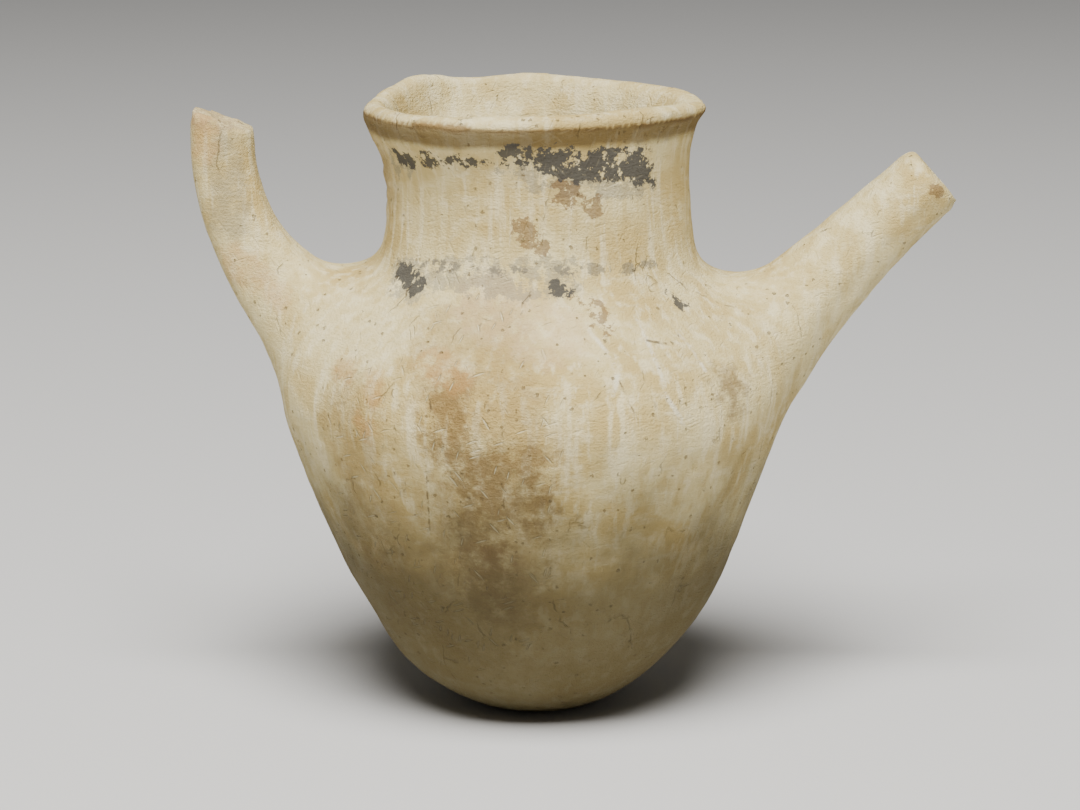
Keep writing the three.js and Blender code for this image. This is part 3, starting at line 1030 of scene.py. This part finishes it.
class Sheet:
    """Places and links shader nodes in one tree."""

    def __init__(self, tree: bpy.types.NodeTree) -> None:
        """Starts in an empty tree.

        Args:
            tree: The material's or the group's tree.
        """
        self.tree = tree
        tree.nodes.clear()

    def node(self, kind: str, inputs: dict | None = None, **settings: object) -> bpy.types.Node:
        """Adds a node.

        Args:
            kind: The node's type.
            inputs: Sockets, values or colours for its inputs, by name or number.
            **settings: The node's own settings.

        Returns:
            The new node.
        """
        node = self.tree.nodes.new(kind)
        for name, value in settings.items():
            setattr(node, name, value)
        for key, value in (inputs or {}).items():
            if isinstance(value, Socket):
                self.tree.links.new(value, node.inputs[key])
            else:
                node.inputs[key].default_value = value
        return node

    def math(self, operation: str, *values: object, clamp: bool = False) -> Socket:
        """Adds a sum, product or other operation on numbers."""
        node = self.node("ShaderNodeMath", dict(enumerate(values)), operation=operation, use_clamp=clamp)
        return node.outputs[0]

    def times(self, first: object, *others: object) -> Socket:
        """Multiplies numbers with each other."""
        for other in others:
            first = self.math("MULTIPLY", first, other)
        return first

    def scaled(self, vector: object, share: object) -> Socket:
        """Multiplies a vector by a number."""
        sockets = {0: vector, "Scale": share}
        return self.node("ShaderNodeVectorMath", sockets, operation="SCALE").outputs[0]

    def stretched(self, vector: object, *factors: float) -> Socket:
        """Multiplies each part of a vector by its own factor."""
        return self.vector("MULTIPLY", vector, factors).outputs[0]

    def vector(self, operation: str, *values: object) -> bpy.types.Node:
        """Adds an operation on vectors."""
        return self.node("ShaderNodeVectorMath", dict(enumerate(values)), operation=operation)

    def blend(self, share: object, first: object, second: object, mode: str = "MIX") -> Socket:
        """Mixes two colours by a share."""
        sockets = {0: share, 6: first, 7: second}
        node = self.node("ShaderNodeMix", sockets, data_type="RGBA", blend_type=mode)
        return node.outputs[2]

    def noise(self, place: object, scale: float, detail: float, rough: float) -> Sequence[Socket]:
        """Adds a noise whose features are about one over the scale across: its value and its colour."""
        inputs = {"Vector": place, "Scale": scale, "Detail": detail, "Roughness": rough}
        return self.node("ShaderNodeTexNoise", inputs).outputs

    def mask(self, name: str) -> Socket:
        """Reads one of the skin's masks."""
        return self.node("ShaderNodeAttribute", attribute_name=name).outputs["Fac"]

    def step(
        self, value: object, low: float, high: float, start: float = 0, end: float = 1
    ) -> Socket:
        """Leads smoothly from start to end while a value runs from low to high."""
        inputs = {0: value, 1: low, 2: high, 3: start, 4: end}
        return self.node("ShaderNodeMapRange", inputs, interpolation_type="SMOOTHSTEP").outputs[0]


def new_group(name: str, inputs: dict[str, str], output: str) -> Sheet:
    """Starts a shader group.

    Args:
        name: The group's name.
        inputs: The kinds of its inputs, by name.
        output: The name of its one output, a number.

    Returns:
        The sheet of the group's tree.
    """
    tree = bpy.data.node_groups.new(name, "ShaderNodeTree")
    for title, kind in inputs.items():
        tree.interface.new_socket(title, in_out="INPUT", socket_type=f"NodeSocket{kind}")
    tree.interface.new_socket(output, in_out="OUTPUT", socket_type="NodeSocketFloat")
    return Sheet(tree)


def stroke_group() -> bpy.types.NodeTree:
    """Builds the shader group that gives the mask of one stroke with round ends.

    The mask is 1 nearer than the radius to the line from Start to End, and fades over Softness.

    Returns:
        The group.
    """
    kinds = {"Point": "Vector", "Start": "Vector", "End": "Vector", "Radius": "Float", "Softness": "Float"}
    sheet = new_group("stroke", kinds, "Mask")
    given = sheet.node("NodeGroupInput").outputs
    line = sheet.vector("SUBTRACT", given["End"], given["Start"]).outputs[0]
    offset = sheet.vector("SUBTRACT", given["Point"], given["Start"]).outputs[0]
    along = sheet.vector("DOT_PRODUCT", offset, line).outputs["Value"]
    square = sheet.math("MAXIMUM", sheet.vector("DOT_PRODUCT", line, line).outputs["Value"], 1e-4)
    share = sheet.math("DIVIDE", along, square, clamp=True)
    away = sheet.vector("SUBTRACT", offset, sheet.scaled(line, share)).outputs[0]
    rest = sheet.vector("LENGTH", away).outputs["Value"]
    past = sheet.math("DIVIDE", sheet.math("SUBTRACT", rest, given["Radius"]), given["Softness"], clamp=True)
    sheet.node("NodeGroupOutput", {"Mask": sheet.step(past, 0, 1, 1, 0)})
    return sheet.tree


def chaff_group() -> bpy.types.NodeTree:
    """Builds the shader group that scatters the short prints of straw burnt out of the clay.

    Long thin cells lie in three directions, and a few of them are taken as prints.

    Returns:
        The group, with Point and Amount in and Prints out.
    """
    sheet = new_group("straw prints", {"Point": "Vector", "Amount": "Float"}, "Prints")
    given = sheet.node("NodeGroupInput").outputs
    total = 0.0
    for turn, stretch in ((0.35, (0.16, 0.16, 0.95)), (1.25, (0.2, 0.2, 1.1)), (2.2, (0.14, 0.14, 0.8))):
        place = {"Vector": given["Point"], "Axis": (0.25, 1, 0.1), "Angle": turn}
        turned = sheet.node("ShaderNodeVectorRotate", place, rotation_type="AXIS_ANGLE").outputs[0]
        cells = {"Vector": sheet.stretched(turned, *stretch), "Scale": 1.0}
        grain = sheet.node("ShaderNodeTexVoronoi", cells).outputs
        pick = sheet.node("ShaderNodeSeparateColor", {0: grain["Color"]}).outputs[0]
        chosen = sheet.math("LESS_THAN", pick, given["Amount"])
        found = sheet.times(sheet.step(grain["Distance"], 0.16, 0.3, 1, 0), chosen)
        total = sheet.math("MAXIMUM", total, found)
    sheet.node("NodeGroupOutput", {"Prints": total})
    return sheet.tree


@dataclass(frozen=True)
class Band:
    """A band of colour round the lip, with the heights where it starts and is full at each side."""

    shade: Shade
    strength: float
    below: tuple[float, float]
    above: tuple[float, float]


@dataclass(frozen=True)
class ClayFinish:
    """Buff fired clay under a worn cream slip. The colours are screen values, the lengths millimetres."""

    slip: Shade = (222, 205, 150)
    clay: Shade = (196, 171, 108)
    pale: Shade = (236, 223, 178)
    # Colour of the lower body's darkening: partly painted shade from the light above, partly stained clay.
    low_shade_and_stain_olive: Shade = (80, 71, 45)
    pit: Shade = (116, 94, 58)
    raw: Shade = (186, 164, 122)
    lip_face: Band = Band((136, 104, 56), 0.8, (151, 152.4), (155.8, 154.6))
    # The lower lip band is painted shadow cast under the lip's overhang.
    under_lip_shadow: Band = Band((84, 64, 34), 0.75, (146.4, 148.6), (153.2, 152))
    roughness: float = 0.9
    gloss: float = 0.25
    bump: float = 0.9
    pit_dark: float = 0.6
    pit_depth: float = 0.7
    crack_dark: float = 0.36
    crack_depth: float = 0.4
    print_amount: float = 0.16
    scar_raw: float = 0.7
    # Lower-body darkening, partly painted shade and partly stain: its strength, the heights of its fade and
    # its cloudiness.
    low_shade_and_stain: float = 0.88
    low_shade_and_stain_fade: tuple[float, float] = (99, 50)
    low_shade_and_stain_cloud: float = 26

    def dress(self, piece: bpy.types.Object, skin: CupSkin) -> bpy.types.Material:
        """Gives the piece its material.

        Args:
            piece: The cup.
            skin: The form that the marks lie on.

        Returns:
            The material.
        """
        material = bpy.data.materials.new("worn slip on buff clay")
        material.use_nodes = True
        sheet = Sheet(material.node_tree)
        point = sheet.scaled(sheet.node("ShaderNodeTexCoord").outputs["Object"], 1 / MM)
        tint = self.marked(sheet, point, self.ground(sheet, point), skin)
        height, dots, prints = self.grain(sheet, point)
        cracks = self.cracks(sheet, point)
        height = sheet.math("SUBTRACT", height, sheet.times(cracks, self.crack_depth))
        dark = sheet.math("MAXIMUM", sheet.times(dots, self.pit_dark), sheet.times(cracks, self.crack_dark))
        tint = sheet.blend(dark, tint, colour(*self.pit))
        bare = sheet.times(prints, sheet.math("MULTIPLY_ADD", sheet.mask(Trace.WORN.name), 0.42, 0.05))
        # Darkens the lower body: partly painted shade from the light above, partly stained clay.
        tint = self.shade_and_stain_low(sheet, point, sheet.blend(bare, tint, colour(*self.pale)))
        bump = sheet.node("ShaderNodeBump", {"Height": height, "Distance": self.bump * MM, "Strength": 1.0})
        looks = {"Base Color": tint, "Roughness": self.roughness, "Normal": bump.outputs[0]}
        shader = sheet.node("ShaderNodeBsdfPrincipled", looks | {"Specular IOR Level": self.gloss})
        sheet.node("ShaderNodeOutputMaterial", {"Surface": shader.outputs[0]})
        piece.data.materials.clear()
        piece.data.materials.append(material)
        return material

    def ground(self, sheet: Sheet, point: Socket) -> Socket:
        """Mixes the slip, the bare clay, the lip's bands (the lower one is painted shadow under the lip) and
        the raw break.

        Args:
            sheet: The material's sheet.
            point: The place in millimetres.

        Returns:
            The ground colour.
        """
        broad = sheet.noise(point, 0.045, 3, 0.6)[0]
        patchy = sheet.noise(sheet.stretched(point, 1, 1, 2.2), 0.13, 4, 0.62)[0]
        fine = sheet.noise(point, 0.8, 3, 0.6)[0]
        streaks = sheet.noise(sheet.stretched(point, 0.34, 0.34, 0.03), 1, 4, 0.6)[0]
        tint = colour(*self.slip)
        for cloud, low, high, strength, shade in (
            (broad, 0.4, 0.66, 1, self.clay),
            (patchy, 0.5, 0.72, 0.55, self.pale),
            (patchy, 0.48, 0.26, 0.5, self.clay),
            (fine, 0.52, 0.75, 0.35, self.clay),
            (streaks, 0.5, 0.66, 0.6, self.pale),
            (streaks, 0.47, 0.34, 0.55, self.clay),
        ):
            tint = sheet.blend(sheet.step(cloud, low, high, 0, strength), tint, colour(*shade))
        height = sheet.node("ShaderNodeSeparateXYZ", {0: point}).outputs[2]
        wavy = sheet.math("MULTIPLY_ADD", patchy, 3, height)
        # The second band is painted shadow under the lip's overhang.
        for band in (self.lip_face, self.under_lip_shadow):
            cover = sheet.times(sheet.step(wavy, *band.below), sheet.step(wavy, *band.above))
            cover = sheet.times(cover, sheet.mask("neck"), band.strength)
            tint = sheet.blend(cover, tint, colour(*band.shade))
        scar = sheet.times(sheet.mask("scar"), self.scar_raw)
        torn = sheet.math("ADD", sheet.mask("break"), scar, clamp=True)
        return sheet.blend(sheet.times(torn, sheet.step(fine, 0.3, 0.6)), tint, colour(*self.raw))

    def cracks(self, sheet: Sheet, point: Socket) -> Socket:
        """Draws hairline drying cracks: the edges of tall thin cells, kept only in some patches.

        Args:
            sheet: The material's sheet.
            point: The place in millimetres.

        Returns:
            The mask of the cracks.
        """
        sway = sheet.noise(point, 0.11, 3, 0.6)
        bent = sheet.vector("ADD", point, sheet.stretched(sway[1], 7, 7, 7)).outputs[0]
        cells = {"Vector": sheet.stretched(bent, 0.08, 0.08, 0.014), "Scale": 1}
        edges = sheet.node("ShaderNodeTexVoronoi", cells, feature="DISTANCE_TO_EDGE")
        line = sheet.step(edges.outputs["Distance"], 0.004, 0.014, 1, 0)
        return sheet.times(line, sheet.step(sway[0], 0.54, 0.64))

    def shade_and_stain_low(self, sheet: Sheet, point: Socket, tint: Socket) -> Socket:
        """Darkens the lower body with a cloudy upper edge: partly painted shade from the light above, partly
        stained clay.

        Args:
            sheet: The material's sheet.
            point: The place in millimetres.
            tint: The colour so far.

        Returns:
            The colour with the painted shade and stain.
        """
        height = sheet.node("ShaderNodeSeparateXYZ", {0: point}).outputs[2]
        cloud = sheet.noise(point, 0.07, 3, 0.6)[0]
        cloudy = sheet.math("MULTIPLY_ADD", cloud, self.low_shade_and_stain_cloud, height)
        return sheet.blend(sheet.step(cloudy, *self.low_shade_and_stain_fade, 0, self.low_shade_and_stain), tint, colour(*self.low_shade_and_stain_olive))

    def marked(self, sheet: Sheet, point: Socket, tint: Socket, skin: CupSkin) -> Socket:
        """Lays the marks over the ground, each kind ragged by its own noise.

        Args:
            sheet: The material's sheet.
            point: The place in millimetres.
            tint: The ground colour.
            skin: The form that the marks lie on.

        Returns:
            The colour with the marks.
        """
        stroke = stroke_group()
        flakes = sheet.noise(point, 0.24, 5, 0.74)
        shift = sheet.vector("SUBTRACT", flakes[1], (0.5, 0.5, 0.5)).outputs[0]
        moved = sheet.vector("ADD", point, shift).outputs[0]
        for trace in Trace:
            pigment = trace.value
            if pigment.thin:
                total = 0.0
                for start, end, radius in skin.strokes(trace):
                    line = {"Point": moved, "Start": start, "End": end, "Radius": radius}
                    line["Softness"] = pigment.softness
                    mask = sheet.node("ShaderNodeGroup", line, node_tree=stroke).outputs[0]
                    total = sheet.math("MAXIMUM", total, mask)
                total = sheet.times(total, sheet.step(flakes[0], 0.4, 0.56))
            else:
                spread, ragged = sheet.mask(trace.name), pigment.ragged
                worn = sheet.math("MULTIPLY_ADD", flakes[0], ragged.share, spread)
                total = sheet.times(sheet.step(worn, ragged.start, ragged.full), sheet.step(spread, 0, 0.25))
            tint = sheet.blend(sheet.times(total, pigment.strength), tint, colour(*pigment.shade))
        return tint

    def grain(self, sheet: Sheet, point: Socket) -> tuple[Socket, Socket, Socket]:
        """Works out the fine surface: sandy grain, small pits and the prints of straw.

        Args:
            sheet: The material's sheet.
            point: The place in millimetres.

        Returns:
            The height for the bump, the mask of the pits and the mask of the prints.
        """
        fine = sheet.noise(point, 1.6, 3, 0.7)[0]
        drag = sheet.noise(sheet.stretched(point, 0.5, 0.5, 2.4), 0.5, 3, 0.55)[0]
        holes = sheet.node("ShaderNodeTexVoronoi", {"Vector": point, "Scale": 0.62}).outputs
        pick = sheet.node("ShaderNodeSeparateColor", {0: holes["Color"]}).outputs[0]
        size = sheet.times(sheet.step(pick, 0.8, 1, 0, 0.36), sheet.step(fine, 0.3, 0.6))
        dots = sheet.step(sheet.math("SUBTRACT", holes["Distance"], size), -0.08, 0.02, 1, 0)
        given = {"Point": point, "Amount": self.print_amount}
        prints = sheet.node("ShaderNodeGroup", given, node_tree=chaff_group()).outputs[0]
        worn = sheet.mask(Trace.WORN.name)
        coarse = sheet.times(sheet.noise(point, 0.5, 4, 0.75)[0], worn)
        height = sheet.math("MULTIPLY_ADD", fine, 0.6, sheet.times(drag, 0.28))
        height = sheet.math("ADD", height, coarse)
        for hollow, depth in (
            (dots, self.pit_depth),
            (prints, sheet.math("MULTIPLY_ADD", worn, 0.4, 0.14)),
        ):
            height = sheet.math("SUBTRACT", height, sheet.times(hollow, depth))
        return height, dots, prints


@dataclass
class Studio:
    """The plain pale floor and the soft light from above and in front."""

    floor_shade: Shade = (206, 204, 200)
    floor_half: float = 6.0
    floor_roughness: float = 0.95
    lamp_size: float = 1.0
    lamp_place: tuple[float, float, float] = (-0.05, -0.95, 1.75)
    lamp_power: float = 92
    lamp_aim: tuple[float, float, float] = (0, 0, 0.08)
    sky: float = 0.1

    def build(self) -> bpy.types.Object:
        """Sets out the floor, the lamp and the sky.

        Returns:
            The floor.
        """
        half = self.floor_half
        mesh = bpy.data.meshes.new("floor")
        corners = [(-half, -half, 0), (half, -half, 0), (half, half, 0), (-half, half, 0)]
        mesh.from_pydata(corners, [], [(0, 1, 2, 3)])
        floor = bpy.data.objects.new("floor", mesh)
        bpy.context.scene.collection.objects.link(floor)
        material = bpy.data.materials.new("pale floor")
        material.use_nodes = True
        shader = material.node_tree.nodes["Principled BSDF"]
        shader.inputs["Base Color"].default_value = colour(*self.floor_shade)
        shader.inputs["Roughness"].default_value = self.floor_roughness
        mesh.materials.append(material)
        lamp = bpy.data.lights.new("softbox", "AREA")
        lamp.shape = "SQUARE"
        lamp.size = self.lamp_size
        lamp.energy = self.lamp_power
        light = bpy.data.objects.new("softbox", lamp)
        light.location = self.lamp_place
        aim = Vector(self.lamp_aim) - light.location
        light.rotation_euler = aim.to_track_quat("-Z", "Y").to_euler()
        bpy.context.scene.collection.objects.link(light)
        world = bpy.data.worlds.new("soft sky")
        world.use_nodes = True
        background = world.node_tree.nodes["Background"].inputs
        background["Color"].default_value = (1, 1, 1, 1)
        background["Strength"].default_value = self.sky
        bpy.context.scene.world = world
        return floor


def main() -> None:
    """Builds the cup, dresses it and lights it."""
    logging.basicConfig(level=logging.INFO, format="%(message)s")
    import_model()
    skin = CupSkin()
    cup = skin.build()
    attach(cup, "root")
    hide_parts(CUP_NODE)
    LOG.info("cup: %d faces", len(cup.data.polygons))
    finish = ClayFinish().dress(cup, skin)
    LOG.info("%s: %d nodes", finish.name, len(finish.node_tree.nodes))
    Studio().build()
    skin.view.camera()


if __name__ == "__main__":
    main()
